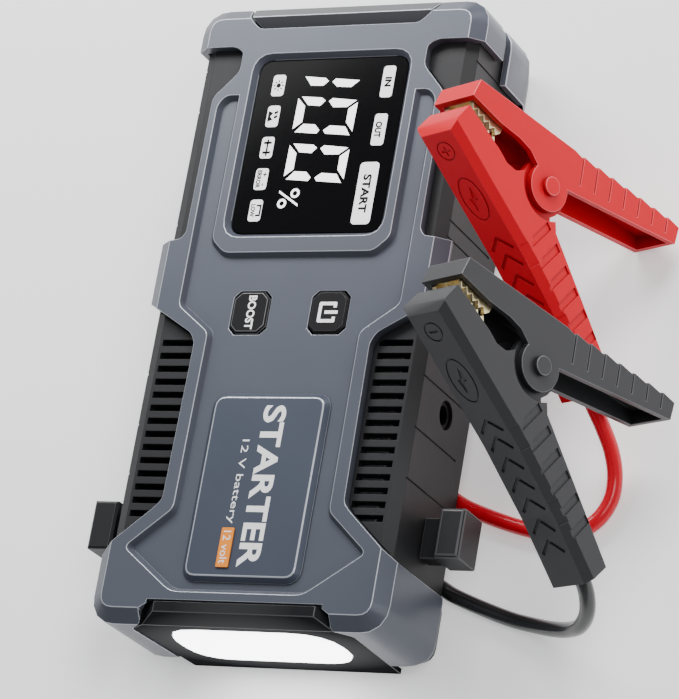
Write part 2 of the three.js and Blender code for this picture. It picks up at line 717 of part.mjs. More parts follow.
function lowerHousing(sign) {
  const shape = outline([...LOWER_BACK, ...LOWER_FRONT]);
  const straight = prism(shape, -HALF, HALF);
  // Chamfers along the back edges only, so the front edges stay square.
  const edges = [];
  for (let i = 0; i < LOWER_BACK.length - 1; i += 1) {
    const [x0, y0] = LOWER_BACK[i];
    const [x1, y1] = LOWER_BACK[i + 1];
    for (const side of [-1, 1]) {
      const wedge = new THREE.BoxGeometry(Math.hypot(x1 - x0, y1 - y0) + 8, CLAMP.edge * Math.SQRT2,
        CLAMP.edge * Math.SQRT2);
      wedge.rotateX(Math.PI / 4).rotateZ(Math.atan2(y1 - y0, x1 - x0));
      edges.push(solid(wedge.translate((x0 + x1) / 2, (y0 + y1) / 2, side * HALF)));
    }
  }
  const inside = hollow(LOWER_BACK, [1.5, 1.75], [
    [45, -52],
    [22, -14],
    [12, 12],
    [-12, 14],
    [-30, 16],
    [-34.9, 13.2],
    [-37.2, 8.6],
  ]);
  const boss = [-1, 1].map((side) =>
    bar("z", 12.4, 2.6, 0, 0, side * (HALF - CLAMP.wall - 1.3)));
  const keep = joined(...boss).intersect(prism(shape, -HALF, HALF));
  const pockets = [-1, 1].map((side) => bar("z", CLAMP.pocketR, 2 * CLAMP.pocketDepth, 0, 0, side * HALF, 32));
  return cut(joined(cut(straight, inside), keep), ...pockets, ...edges, ...gripRecesses(), ...backMarks(sign),
    bar("z", 2.45, 30, 0, 0, 0));
}

function upperHousing() {
  const straight = prism(outline([...UPPER_BACK, ...UPPER_FRONT]), -HALF, HALF);
  const inside = prism(outline([
    [54, 6.8],
    [8.1, 13],
    [-33, 19],
    [-34.6, 12],
    [-12, 0],
    [-12, -12],
    [12, -12],
    [54, -6],
  ]), -HALF + CLAMP.wall, HALF - CLAMP.wall);
  const ribs = [];
  for (let i = 0; i < RIBS.count; i += 1) {
    const x = RIBS.first + RIBS.pitch * i;
    const groove = box(x - 0.25, x + 0.3, 5.2 - i * 0.1, 20, HALF - 0.5, HALF + 1);
    ribs.push(groove, groove.mirror([0, 0, 1]));
  }
  return cut(straight, inside, ...ribs, bar("z", 2.45, 30, 0, 0, 0));
}

const TOOTH = { height: 1.9, count: 5 };
// A strip of teeth between two points: from the housing's inside up to the bite line.
function toothed(from, to, depth, teeth, side) {
  const [x0, y0] = from;
  const [x1, y1] = to;
  const length = Math.hypot(x1 - x0, y1 - y0);
  const ux = (x1 - x0) / length;
  const uy = (y1 - y0) / length;
  const at = (along, up) => [x0 + ux * along - uy * up * side, y0 + uy * along + ux * up * side];
  const points = [];
  for (let i = 0; i < teeth; i += 1) {
    points.push(at((length * i) / teeth, -TOOTH.height), at((length * (i + 0.5)) / teeth, 0));
  }
  points.push(at(length, -TOOTH.height), at(length, -depth), at(0, -depth * 0.75));
  const shape = outline(side > 0 ? points.slice().reverse() : points);
  const whole = prism(shape, -6.2, 6.2);
  const middle = outline([at(-1, 2), at(length + 1, 2), at(length + 1, 1.4 - depth), at(-1, 1.4 - depth * 0.75)]);
  return cut(whole, prism(middle, -4.8, 4.8));
}

const BITE = { tip: [-34.2, 12.9], root: [-21.6, 7.6] };
const lowerJaw = () => toothed(BITE.tip, BITE.root, 5.6, TOOTH.count, 1);
const upperJaw = () => toothed([BITE.tip[0], BITE.tip[1] + 0.3], [BITE.root[0], BITE.root[1] + 0.3], 5.4, TOOTH.count, -1);

function pivotPin() {
  const heads = [-1, 1].map((side) => bar("z", 3, 1.3, 0, 0, side * (HALF + GAP + 0.65), 20));
  return joined(bar("z", 2.2, CLAMP.width + 1.4, 0, 0, 0), ...heads);
}

const spring = () => cut(bar("z", 5.6, 7.2, 0, 0, 0, 20), bar("z", 3.6, 9, 0, 0, 0, 20));

function clamp(name, colour, sign, [x, y, z]) {
  const group = new THREE.Group();
  group.position.set(x, y, z);
  group.rotation.y = CLAMP.tiltY;
  pack.add(group);
  piece(`${name}_clamp_lower_half`, lowerHousing(sign), colour, group);
  piece(`${name}_clamp_upper_half`, upperHousing(), colour, group);
  piece(`${name}_clamp_lower_jaw`, lowerJaw(), COLOURS.brass, group);
  piece(`${name}_clamp_upper_jaw`, upperJaw(), COLOURS.brass, group);
  piece(`${name}_clamp_pivot_pin`, pivotPin(), colour, group);
  piece(`${name}_clamp_spring`, spring(), COLOURS.metal, group);
}
clamp("red", COLOURS.red, 1, [80.5, 33.5, 55.6]);
clamp("black", COLOURS.black, -1, [93.85, -30.36, 70.03]);

export default pack;
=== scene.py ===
import math

import bmesh
import bpy
from mathutils import Matrix, Vector


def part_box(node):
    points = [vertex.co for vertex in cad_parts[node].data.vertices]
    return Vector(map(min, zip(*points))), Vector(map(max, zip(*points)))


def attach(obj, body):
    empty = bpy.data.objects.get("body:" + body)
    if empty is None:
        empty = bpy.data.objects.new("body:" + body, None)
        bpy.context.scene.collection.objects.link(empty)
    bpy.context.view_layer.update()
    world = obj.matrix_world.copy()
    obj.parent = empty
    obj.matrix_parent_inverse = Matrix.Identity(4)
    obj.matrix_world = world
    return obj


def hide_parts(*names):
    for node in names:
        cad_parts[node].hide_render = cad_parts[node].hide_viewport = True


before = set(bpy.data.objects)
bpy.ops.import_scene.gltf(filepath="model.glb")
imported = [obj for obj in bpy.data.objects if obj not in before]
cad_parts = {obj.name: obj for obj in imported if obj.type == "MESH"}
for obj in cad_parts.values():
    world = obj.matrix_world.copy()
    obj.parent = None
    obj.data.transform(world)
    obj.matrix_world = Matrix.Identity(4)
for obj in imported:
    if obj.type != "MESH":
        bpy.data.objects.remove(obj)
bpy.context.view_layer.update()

# ---- camera ----
# A long lens over the right of the tail end, looking down at the front cover. It sees the whole pack with
# both clamps beside it.
LONG_LENS = 198.9
FARTHEST = 20
camera = bpy.data.cameras.new("camera")
camera.lens = LONG_LENS
camera.clip_end = FARTHEST
eye = bpy.data.objects.new("camera", camera)
bpy.context.scene.collection.objects.link(eye)
eye.matrix_world = Matrix((
    (0.891911, -0.000100, 0.452211, 0.561157),
    (0.165096, 0.931046, -0.325418, -0.403863),
    (-0.420997, 0.364902, 0.830427, 1.039921),
    (0, 0, 0, 1),
))
bpy.context.scene.camera = eye

# ---- leads ----
# Two short silicone leads, 5 mm across. Each leaves its boot under the pack, comes out past the pack's edge
# along the ground, and turns up into the lower handle of its clamp.
MM = 0.001
LEAD_RADIUS = 2.5 * MM
LEAD_ROUNDNESS = 5
ROUTE_STEPS = 6
SAME_POINT = 0.001 * MM
SMOOTH_TO = math.radians(50)
LEAD_ROUTES = {
    "red": [
        (34.4, -42, 4.6), (40, -44.6, 3.4), (46.3, -48.1, 2.7), (51.2, -50.6, 2.7), (62.8, -54.6, 2.7),
        (72.7, -57.2, 2.7), (82, -58.6, 2.7), (89.5, -57.6, 2.7), (95.6, -53.6, 2.7), (99.2, -47, 3),
        (100, -40, 4.6), (99.4, -33.6, 8.2), (97.7, -27.6, 13.4), (95.6, -22.2, 18.9), (93, -15.6, 25.2),
        (89.6, -7, 33.4),
    ],
    "black": [
        (34.4, -71, 4.6), (40, -73.6, 3.4), (46.8, -77, 2.7), (50.9, -79.2, 2.7), (64, -84, 2.7),
        (73, -86.8, 3.1), (81.5, -88.9, 5), (89.5, -90.9, 8.6), (97, -92.3, 13.6), (103, -92.6, 19.6),
        (107.2, -90.2, 26), (108.6, -85.8, 32.4), (107.2, -80.2, 39), (103.2, -71.2, 48),
    ],
}


def smooth_route(points):
    """Points close together on one smooth curve through the given points, in metres."""
    knots = [Vector(p) * MM for p in points]
    knots = [2 * knots[0] - knots[1], *knots, 2 * knots[-1] - knots[-2]]
    route = []
    for before, start, end, after in zip(knots, knots[1:], knots[2:], knots[3:]):
        t = [0.0]
        for near, far in ((before, start), (start, end), (end, after)):
            t.append(t[-1] + (far - near).length ** 0.5)
        for step in range(ROUTE_STEPS):
            at = t[1] + (t[2] - t[1]) * step / ROUTE_STEPS
            a = [near.lerp(far, (at - t[i]) / (t[i + 1] - t[i]))
                 for i, (near, far) in enumerate(((before, start), (start, end), (end, after)))]
            b = [a[i].lerp(a[i + 1], (at - t[i]) / (t[i + 2] - t[i])) for i in (0, 1)]
            route.append(b[0].lerp(b[1], (at - t[1]) / (t[2] - t[1])))
    return [*route, knots[-2]]


def mesh_of(curve):
    """A curve or a text made a mesh."""
    maker = bpy.data.objects.new(curve.name, curve)
    bpy.context.scene.collection.objects.link(maker)
    mesh = bpy.data.meshes.new_from_object(maker)
    bpy.data.objects.remove(maker)
    return mesh


def weld(mesh):
    """Merges a mesh's doubled points and turns its faces outwards."""
    shape = bmesh.new()
    shape.from_mesh(mesh)
    bmesh.ops.remove_doubles(shape, verts=shape.verts, dist=SAME_POINT)
    bmesh.ops.recalc_face_normals(shape, faces=shape.faces)
    shape.to_mesh(mesh)
    shape.free()


def placed(name, mesh, body):
    """A finished mesh made a piece that moves with body."""
    piece = bpy.data.objects.new(name, mesh)
    bpy.context.scene.collection.objects.link(piece)
    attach(piece, body)
    return piece


def bar(name, route, radius, roundness, node):
    """A round bar along route, with closed ends, that stands for a node of the pack."""
    line = bpy.data.curves.new(name, "CURVE")
    line.dimensions = "3D"
    line.bevel_depth = radius
    line.bevel_resolution = roundness
    line.use_fill_caps = True
    spline = line.splines.new("POLY")
    spline.points.add(len(route) - 1)
    for point, at in zip(spline.points, route):
        point.co = (*at, 1)
    spline.use_smooth = True
    mesh = mesh_of(line)
    weld(mesh)
    mesh.shade_smooth()
    mesh.set_sharp_from_angle(angle=SMOOTH_TO)
    piece = placed(name, mesh, "pack")
    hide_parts(node)
    return piece


routes = {colour: smooth_route(points) for colour, points in LEAD_ROUTES.items()}
sleeves = {
    colour: bar(f"{colour}_lead_sleeve", route, LEAD_RADIUS, LEAD_ROUNDNESS, f"{colour}_lead")
    for colour, route in routes.items()
}

# ---- floor and light ----
# A pale studio floor without an edge in view. The key light stands beyond the head end on the right. The
# satin paint mirrors a small soft box over the head end, and a weaker box fills the right side.
AIR_COLOUR = (0.93, 0.95, 1, 1)
AIR_STRENGTH = 0.3
FLOOR_REACH = 6
PAPER_COLOUR = (0.9, 0.9, 0.9, 1)
PAPER_GLOW = 0.5
LIGHTS_AIM = Vector((0.03, 0, 0.03))
studio = bpy.data.worlds.new("studio")
studio.use_nodes = True
studio.node_tree.nodes["Background"].inputs["Color"].default_value = AIR_COLOUR
studio.node_tree.nodes["Background"].inputs["Strength"].default_value = AIR_STRENGTH
bpy.context.scene.world = studio


def cast(shape, name, *finishes):
    """A shape made a mesh, with its finishes."""
    mesh = bpy.data.meshes.new(name)
    shape.to_mesh(mesh)
    shape.free()
    for material in finishes:
        mesh.materials.append(material)
    return mesh


paper = bpy.data.materials.new("studio_paper")
paper.use_nodes = True
for key, value in (("Base Color", PAPER_COLOUR), ("Roughness", 0.9), ("Emission Color", (1, 1, 1, 1)),
                   ("Emission Strength", PAPER_GLOW)):
    paper.node_tree.nodes["Principled BSDF"].inputs[key].default_value = value
ground = bmesh.new()
bmesh.ops.create_grid(ground, x_segments=1, y_segments=1, size=FLOOR_REACH)
floor = bpy.data.objects.new("floor", cast(ground, "floor", paper))
bpy.context.scene.collection.objects.link(floor)


def soft_box(name, at, size, power):
    """A flat light that faces the pack, with its width and height in metres and its power in watts."""
    lamp = bpy.data.lights.new(name, "AREA")
    lamp.shape = "RECTANGLE"
    lamp.size, lamp.size_y = size
    lamp.energy = power
    box = bpy.data.objects.new(name, lamp)
    bpy.context.scene.collection.objects.link(box)
    box.location = at
    box.rotation_euler = (LIGHTS_AIM - Vector(at)).to_track_quat("-Z", "Y").to_euler()


soft_box("mirror_box", (-0.24, 0.4, 0.4), (0.34, 0.24), 3.2)
soft_box("key_box", (0.35, 0.9, 0.8), (0.5, 0.4), 12)
soft_box("right_box", (0.65, -0.05, 0.95), (0.5, 0.5), 4.5)

# ---- front cover ----
# The stiff front shell that frames the display and wraps all four corners, moulded and sprayed a satin
# blue grey. Its corners are rounded by a sixth of a millimetre, with a painted highlight on the outer ones.
BROAD_SCALE = 45.0
RELIEF_HEIGHT = 0.1 * MM
COAT_ROUGHNESS = 0.12
SHARP_FOLD = math.radians(35)
FLAT_FOLD = math.radians(0.5)
ROUNDING_STEPS = 2


class Wire:
    """A socket of a finish's nodes. Arithmetic on wires adds the Math nodes that it needs. A Mix node's
    sockets go by number: 0 is its factor, 6 and 7 are its two colours, and 2 is the colour that it gives."""

    def __init__(self, tree, socket):
        self.tree, self.socket = tree, socket

    def node(self, kind, settings=None, values=None, out=0):
        made = self.tree.nodes.new(f"ShaderNode{kind}")
        for key, value in (settings or {}).items():
            setattr(made, key, value)
        for key, value in (values or {}).items():
            if isinstance(value, Wire):
                self.tree.links.new(value.socket, made.inputs[key])
            else:
                made.inputs[key].default_value = value
        return Wire(self.tree, made.outputs[out])

    def maths(self, operation, first, second):
        return self.node("Math", {"operation": operation}, {0: first, 1: second})

    def __add__(self, other):
        return self.maths("ADD", self, other)

    def __sub__(self, other):
        return self.maths("SUBTRACT", self, other)

    def __rsub__(self, other):
        return self.maths("SUBTRACT", other, self)

    def __mul__(self, other):
        return self.maths("MULTIPLY", self, other)

    __radd__ = __add__
    __rmul__ = __mul__


def position(material):
    """Where a point is on the object: the wire that every pattern of a finish starts from."""
    tree = material.node_tree
    return Wire(tree, tree.nodes.new("ShaderNodeTexCoord").outputs["Object"])


def tinted(place, colour, tone):
    """A colour made lighter or darker by tone."""
    return place.node("Mix", {"data_type": "RGBA", "blend_type": "MULTIPLY"},
                      {0: 1.0, 6: (*colour, 1), 7: tone}, 2)


def finish(name, colour, roughness, grain=0.5, relief=0.12, mottle=0.1, metallic=0.0, coat=0.0, edge=0.35,
           uneven=0.12, gloss=0.5, painted_shade=0.45, reach=5.0):
    """A moulded, sprayed or cast surface. grain and edge are in millimetres: the size of its fine texture,
    and how far its edges are broken. gloss is the strength of its reflection, and painted_shade how much
    its colour is darkened by painted shade in its hollows, which are as wide as reach."""
    material = bpy.data.materials.new(name)
    material.use_nodes = True
    surface = material.node_tree.nodes["Principled BSDF"]
    place = position(material)
    fine = place.node("TexNoise", None, {"Vector": place, "Scale": 1000 / grain, "Detail": 3.0})
    broad = place.node("TexNoise", None, {"Vector": place, "Scale": BROAD_SCALE, "Detail": 3.0})
    tone = (fine - 0.5) * mottle + (broad - 0.5) * mottle + 1
    rounding = place.node("Bevel", {"samples": 4}, {"Radius": edge * MM})
    # Painted shade: the colour is made darker where ambient occlusion finds hollows and parts close by.
    if painted_shade:
        opened = place.node("AmbientOcclusion", {"samples": 6}, {"Distance": reach * MM}, 1)
        tone = tone * (opened * painted_shade + (1 - painted_shade))
    shade = tinted(place, colour, tone)
    bumped = place.node("Bump", None, {"Strength": relief, "Distance": RELIEF_HEIGHT, "Height": fine,
                                       "Normal": rounding})
    matt = roughness + (broad - 0.5) * uneven + (fine - 0.5) * uneven
    for key, wire in (("Base Color", shade), ("Roughness", matt), ("Normal", bumped)):
        place.tree.links.new(wire.socket, surface.inputs[key])
    for key, value in (("Metallic", metallic), ("Coat Weight", coat), ("Coat Roughness", COAT_ROUGHNESS),
                       ("Specular IOR Level", gloss)):
        surface.inputs[key].default_value = value
    return material


def paint(node, material):
    """Gives a piece that keeps its own shape its finish."""
    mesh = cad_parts[node].data
    mesh.materials.clear()
    mesh.materials.append(material)


def softened(node, radius, material, body, edge_highlight=None, join=0.002, clamped=True):
    """A piece again, with its flats made whole and its corners rounded by radius, in millimetres.
    edge_highlight
    is the painted highlight: a lighter finish laid on the rounding of its outer corners. Points closer than
    join become one, and clamped holds the rounding back where an edge is too short for it."""
    shape = bmesh.new()
    shape.from_mesh(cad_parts[node].data)
    bmesh.ops.remove_doubles(shape, verts=shape.verts, dist=join * MM)
    bmesh.ops.dissolve_limit(shape, angle_limit=FLAT_FOLD, verts=shape.verts, edges=shape.edges)
    sharp = [e for e in shape.edges if len(e.link_faces) == 2 and e.calc_face_angle() > SHARP_FOLD]
    rounded = bmesh.ops.bevel(shape, geom=sharp, offset=radius * MM, offset_type="OFFSET", affect="EDGES",
                              segments=ROUNDING_STEPS, profile=0.5, clamp_overlap=clamped,
                              material=-1)["faces"]
    # Painted highlight: the faces of the rounding on outer corners take the lighter second finish.
    if edge_highlight:
        for face in rounded:
            folds = [edge.calc_face_angle_signed(0) for edge in face.edges]
            face.material_index = int(sum(folds) > 0)
    mesh = cast(shape, f"{node}_moulding", *([material, edge_highlight] if edge_highlight else [material]))
    mesh.shade_smooth()
    piece = placed(mesh.name, mesh, body)
    even = piece.modifiers.new("even_shading", "WEIGHTED_NORMAL")
    even.keep_sharp = True
    mesh.set_sharp_from_angle(angle=SMOOTH_TO)
    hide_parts(node)
    return piece


satin_paint = finish("satin_paint", (0.092, 0.101, 0.126), 0.33, grain=0.25, relief=0.05, mottle=0.05,
                     metallic=0.15, edge=0.3, gloss=0.25)
# A painted highlight: a lighter, shinier paint laid on the outer rounded corners of the cover and bumper.
highlight_paint = finish("painted_edge_highlight", (0.5, 0.53, 0.58), 0.3, grain=0.25, relief=0.05, mottle=0.3,
                      metallic=0.3, edge=0.3)
softened("front_cover", 0.17, satin_paint, "pack", edge_highlight=highlight_paint, join=0.12, clamped=False)
softened("head_bumper", 0.3, satin_paint, "pack", edge_highlight=highlight_paint)

# ---- casing ----
# The charcoal tub that holds the cells: glass-filled nylon with a fine moulded grain, slotted for cooling
# beside the name plate and grooved along its sides. Five screws hold the rear cover on.
SCREW_UNDERSIDE = 0.8
SCREW_STEPS = 32
RECESS_STEPS = ((0.0, 0.45), (0.35, 0.3))
grained_nylon = finish("grained_nylon", (0.017, 0.0175, 0.019), 0.5, grain=0.6, relief=0.3, mottle=0.2,
                       edge=0.3, gloss=0.3)
paint("mid_casing", grained_nylon)
softened("rear_cover", 0.2, grained_nylon, "pack")

zinc = finish("zinc_screw", (0.55, 0.55, 0.57), 0.3, grain=0.2, relief=0.05, metallic=1.0, edge=0.15)


def screw(node):
    """A low pan head with a round recess in its outer face, made from one disc."""
    low, high = (Vector(corner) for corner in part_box(node))
    radius, height = (high.x - low.x) / 2, high.z - low.z
    shape = bmesh.new()
    bmesh.ops.create_cone(shape, cap_ends=True, segments=SCREW_STEPS, radius1=radius * SCREW_UNDERSIDE,
                          radius2=radius, depth=height)
    bmesh.ops.translate(shape, verts=shape.verts, vec=(low + high) / 2)
    outer = min(shape.faces, key=lambda face: face.calc_center_median().z)
    for depth, inset in RECESS_STEPS:
        bmesh.ops.inset_individual(shape, faces=[outer], thickness=radius * inset, depth=-depth * height)
    head = placed(f"{node}_head", cast(shape, f"{node}_head", zinc), "pack")
    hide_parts(node)


for number in range(1, 6):
    screw(f"rear_screw_{number}")

# ---- display ----
# A dead-flat smoked window over a lit segment display. It is read with the pack on its side: a charge of
# 100 %, five small signs on one edge, and three long tabs on the other.
MARK_SUNK = 0.02
MARK_DEPTH = 0.04
LETTER_CURVES = 4
smoked = finish("smoked_window", (0.004, 0.004, 0.0045), 0.12, grain=2.0, relief=0.0, mottle=0.02, edge=0.2,
                uneven=0.04, gloss=0.04)
softened("display_window", 0.15, smoked, "pack")
paint("display_module", finish("display_frame", (0.02, 0.02, 0.022), 0.5))


def top_of(node):
    """The height of a piece's upper face at rest, in millimetres."""
    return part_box(node)[1][2] / MM


def lit(name, colour, strength):
    """A surface that gives off light, a little unevenly."""
    material = bpy.data.materials.new(name)
    material.use_nodes = True
    surface = material.node_tree.nodes["Principled BSDF"]
    place = position(material)
    grains = place.node("TexNoise", None, {"Vector": place, "Scale": 900.0, "Detail": 2.0})
    shade = tinted(place, colour, grains * 0.08 + 0.96)
    for key in ("Base Color", "Emission Color"):
        place.tree.links.new(shade.socket, surface.inputs[key])
    surface.inputs["Emission Strength"].default_value = strength
    surface.inputs["Roughness"].default_value = 0.35
    return material


def printed(name, outlines, top, material, body):
    """Flat marks with their outlines given in millimetres, standing proud of a face at height top. Extruding
    lists their sides in no fixed order, so the faces are sorted by their lowest and highest point numbers."""
    shape = bmesh.new()
    for outline in outlines:
        shape.faces.new([shape.verts.new((x * MM, y * MM, (top - MARK_SUNK) * MM)) for x, y in outline])
    shape.normal_update()
    bottoms = list(shape.faces)
    for face in bottoms:
        if face.normal.z < 0:
            face.normal_flip()
    raised = bmesh.ops.extrude_face_region(shape, geom=bottoms, use_keep_orig=True)
    tops = [item for item in raised["geom"] if isinstance(item, bmesh.types.BMVert)]
    bmesh.ops.translate(shape, verts=tops, vec=(0, 0, MARK_DEPTH * MM))
    bmesh.ops.recalc_face_normals(shape, faces=shape.faces)
    shape.verts.index_update()
    count = len(shape.verts)
    shape.faces.sort(key=lambda face: count * min(v.index for v in face.verts)
                     + max(v.index for v in face.verts))
    placed(name, cast(shape, name, material), body)


def tab(x, y, width, length, corner):
    """The outline of a round-cornered tab."""
    points = []
    for quarter, (sx, sy) in enumerate(((1, 1), (-1, 1), (-1, -1), (1, -1))):
        for step in range(5):
            turn = math.radians(90 * (quarter + step / 4))
            points.append((x + sx * (width / 2 - corner) + corner * math.cos(turn),
                           y + sy * (length / 2 - corner) + corner * math.sin(turn)))
    return points


def lettering(name, words, centre, size, top, material, body, bold=0.0):
    """Words read with +X up, stretched to size (length, height), standing proud of a face at height top."""
    text = bpy.data.curves.new(name, "FONT")
    text.body = words
    text.extrude = 0.5
    text.offset = bold
    text.resolution_u = LETTER_CURVES
    mesh = mesh_of(text)
    low, high = (Vector(f(v.co[i] for v in mesh.vertices) for i in range(3)) for f in (min, max))
    span = high - low
    length, height = size
    middle = (centre[0] * MM, centre[1] * MM, (top - MARK_SUNK + MARK_DEPTH / 2) * MM)
    stretch = (length / span.x * MM, height / span.y * MM, MARK_DEPTH / span.z * MM, 1)
    mesh.transform(Matrix.Translation(middle) @ Matrix.Rotation(-math.pi / 2, 4, "Z")
                   @ Matrix.Diagonal(stretch) @ Matrix.Translation(-(low + high) / 2))
    weld(mesh)
    mesh.materials.clear()
    mesh.materials.append(material)
    placed(name, mesh, body)


WINDOW_TOP = top_of("display_window")
segment_light = lit("segment_light", (0.93, 0.93, 0.94), 1.8)
tab_light = lit("tab_light", (0.93, 0.93, 0.94), 0.6)
ONE = [
    [(-9.8, 79.9), (-7.2, 76.6), (-2.8, 76.4), (-1.0, 78.0), (-2.3, 79.1)],
    [(0.3, 77.7), (2.3, 75.9), (7.4, 75.6), (10.1, 77.9), (1.4, 78.8)],
]
NOUGHT = [
    [(-10.9, 72.3), (-11.0, 61.4), (-8.0, 63.8), (-8.0, 69.4)],
    [(-9.7, 72.8), (-7.0, 69.7), (-2.6, 69.3), (-0.9, 71.1), (-2.4, 72.2)],
    [(0.3, 70.9), (2.2, 68.7), (7.2, 68.6), (10.3, 70.9), (1.6, 71.9)],
    [(10.8, 70.2), (7.8, 68.0), (7.8, 63.3), (10.6, 59.9)],
    [(-10.1, 60.3), (-2.1, 59.6), (-1.3, 60.8), (-3.2, 62.8), (-7.5, 63.1)],
    [(0.1, 60.7), (1.0, 59.5), (9.9, 58.7), (7.8, 61.8), (2.3, 62.3)],
]
DIGIT_STEP = 16.5
SECOND_NOUGHT = [[(x, y - DIGIT_STEP) for x, y in segment] for segment in NOUGHT]
TABS = [
    *((-19.0, y, 4.5, 7.5, 1.0) for y in (77.0, 66.1, 55.1, 44.1, 33.2)),
    (20.2, 77.1, 4.3, 11, 1.0),
    (20.1, 60.4, 4.5, 11, 1.0),
    (19.1, 38.5, 6.7, 21.3, 1.3),
]
printed("charge_digits", [*ONE, *NOUGHT, *SECOND_NOUGHT], WINDOW_TOP, segment_light, "pack")
printed("display_tabs", [tab(*sizes) for sizes in TABS], WINDOW_TOP, tab_light, "pack")
lettering("charge_percent", "%", (-7.9, 37.2), (6.8, 7.4), WINDOW_TOP, segment_light, "pack")

tab_ink = finish("tab_ink", (0.004, 0.004, 0.004), 0.5, edge=0.1, gloss=0.1)
TAB_TOP = WINDOW_TOP + MARK_DEPTH - MARK_SUNK
for name, words, centre, size, bold in (
    ("tab_in", "IN", (20.3, 77.0), (3.4, 2.3), 0.05),
    ("tab_out", "OUT", (19.7, 60.4), (5.6, 2.3), 0.045),
    ("tab_start", "START", (19.0, 38.4), (13.2, 2.9), 0.04),
    ("sign_polarity", "+   -", (-17.9, 44.1), (4.6, 1.3), 0.03),
    ("sign_error", "ERROR", (-19.9, 44.1), (6.2, 1.6), 0.04),
    ("sign_low", "LOW", (-20.0, 33.2), (4.4, 1.6), 0.04),
):
    lettering(name, words, centre, size, TAB_TOP, tab_ink, "pack", bold=bold)
EIGHTHS = [Vector((math.cos(math.pi * i / 4), math.sin(math.pi * i / 4))) for i in range(8)]
SUN = Vector((-19.0, 77.0))
SUN_RADIUS = 0.85
RAY_START, RAY_END, RAY_HALF = 1.15, 1.9, 0.2
printed("sign_lamp", [
    [SUN + SUN_RADIUS * ray for ray in EIGHTHS],
    *([SUN + RAY_START * ray - RAY_HALF * side, SUN + RAY_END * ray - RAY_HALF * side,
       SUN + RAY_END * ray + RAY_HALF * side, SUN + RAY_START * ray + RAY_HALF * side]
      for ray, side in zip(EIGHTHS, EIGHTHS[2:] + EIGHTHS[:2])),
], TAB_TOP, tab_ink, "pack")
printed("sign_strokes", [
    [(-20.8, 68.0), (-20.8, 64.2), (-19.0, 64.9), (-20.0, 66.1), (-19.0, 67.3)],
    [(-18.6, 67.6), (-18.6, 66.7), (-17.4, 67.2), (-17.4, 68.1)],
    [(-18.6, 66.1), (-18.6, 65.2), (-17.4, 65.7), (-17.4, 66.6)],
    [(-18.7, 58.0), (-19.3, 58.0), (-19.3, 52.2), (-18.7, 52.2)],
    [(-20.4, 57.2), (-20.4, 56.4), (-17.6, 56.4), (-17.6, 57.2)],
    [(-20.4, 53.8), (-20.4, 53.0), (-17.6, 53.0), (-17.6, 53.8)],
    [(-17.0, 35.2), (-18.8, 35.2), (-18.8, 34.6), (-17.6, 34.6), (-17.6, 31.8), (-18.8, 31.8),
     (-18.8, 31.2), (-17.0, 31.2)],
], TAB_TOP, tab_ink, "pack")

# ---- name plate ----
# A raised pad, sprayed with the cover, that carries the lettering: plain words, and a small orange tag
# with the battery voltage. Its outer corners carry the cover's painted highlight.
softened("name_plate", 0.3, finish("plate_paint", (0.065, 0.076, 0.105), 0.38, grain=0.25, relief=0.05,
                                   mottle=0.05, metallic=0.2, edge=0.3, gloss=0.3), "pack",
         edge_highlight=highlight_paint)
PLATE_TOP = top_of("name_plate")
print_white = finish("print_white", (0.97, 0.97, 0.97), 0.45, relief=0.02, mottle=0.03, edge=0.05)
lettering("plate_word", "STARTER", (2.5, -60.2), (53, 7.9), PLATE_TOP, print_white, "pack", bold=0.028)
lettering("plate_line", "12 V battery", (-6.2, -58.9), (27.5, 3.2), PLATE_TOP, print_white, "pack")
paint("badge_tag", finish("orange_print", (0.9, 0.27, 0.008), 0.45, relief=0.02, mottle=0.04, edge=0.05))
tag_middle = [(low + high) / 2 / MM for low, high in zip(*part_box("badge_tag"))]
lettering("tag_word", "12 volt", tag_middle, (10.6, 2.6), top_of("badge_tag"), print_white, "pack")

# ---- buttons ----
# Two eight-sided keys in soft-touch black with legends that give off a faint light: a word on the left one,
# and the power sign on the right one. Their outer corners carry a painted highlight in a lighter grey.
key_black = finish("key_black", (0.009, 0.009, 0.01), 0.5, grain=0.35, relief=0.15, edge=0.3, gloss=0.15)
key_highlight = finish("key_highlight", (0.2, 0.2, 0.21), 0.25, grain=0.35, relief=0.1, edge=0.3)
legend_white = lit("legend_white", (0.95, 0.95, 0.95), 0.35)
softened("boost_button", 0.15, key_black, "boost_button", edge_highlight=key_highlight)
softened("power_button", 0.15, key_black, "power_button", edge_highlight=key_highlight)
KEY_TOP = top_of("boost_button")
lettering("boost_word", "BOOST", (-13.4, -2.1), (11.4, 2.9), KEY_TOP, legend_white, "boost_button",
          bold=0.03)
printed("power_sign", [
    [(16.4, 1.3), (10.9, 1.3), (10.5, 0.9), (10.5, -5.2), (10.9, -5.6), (16.4, -5.6), (16.7, -5.3),
     (16.7, -3.7), (15.6, -3.7), (15.6, -4.5), (11.6, -4.5), (11.6, 0.2), (15.6, 0.2), (15.6, -0.6),
     (16.7, -0.6), (16.7, 1.0)],
    [(17.3, -1.6), (12.7, -1.6), (12.7, -2.7), (17.3, -2.7)],
], KEY_TOP, legend_white, "power_button")

# ---- sockets ----
# A hinged strip closes the head end over the two USB sockets, whose drawn shells sit behind the casing
# wall. The round charging socket is in the right side.
# The strip's outer corners carry the painted highlight.
softened("port_cover", 0.3, finish("strip_plastic", (0.07, 0.073, 0.08), 0.42, grain=0.35, relief=0.12,
                                   edge=0.3), "port_cover", edge_highlight=highlight_paint)
drawn_shell = finish("drawn_shell", (0.6, 0.6, 0.62), 0.28, grain=0.3, relief=0.04, metallic=1.0, edge=0.1)
softened("usb_c_socket", 0.12, drawn_shell, "pack")
softened("usb_a_socket", 0.12, drawn_shell, "pack")
softened("dc_socket", 0.2, key_black, "pack")
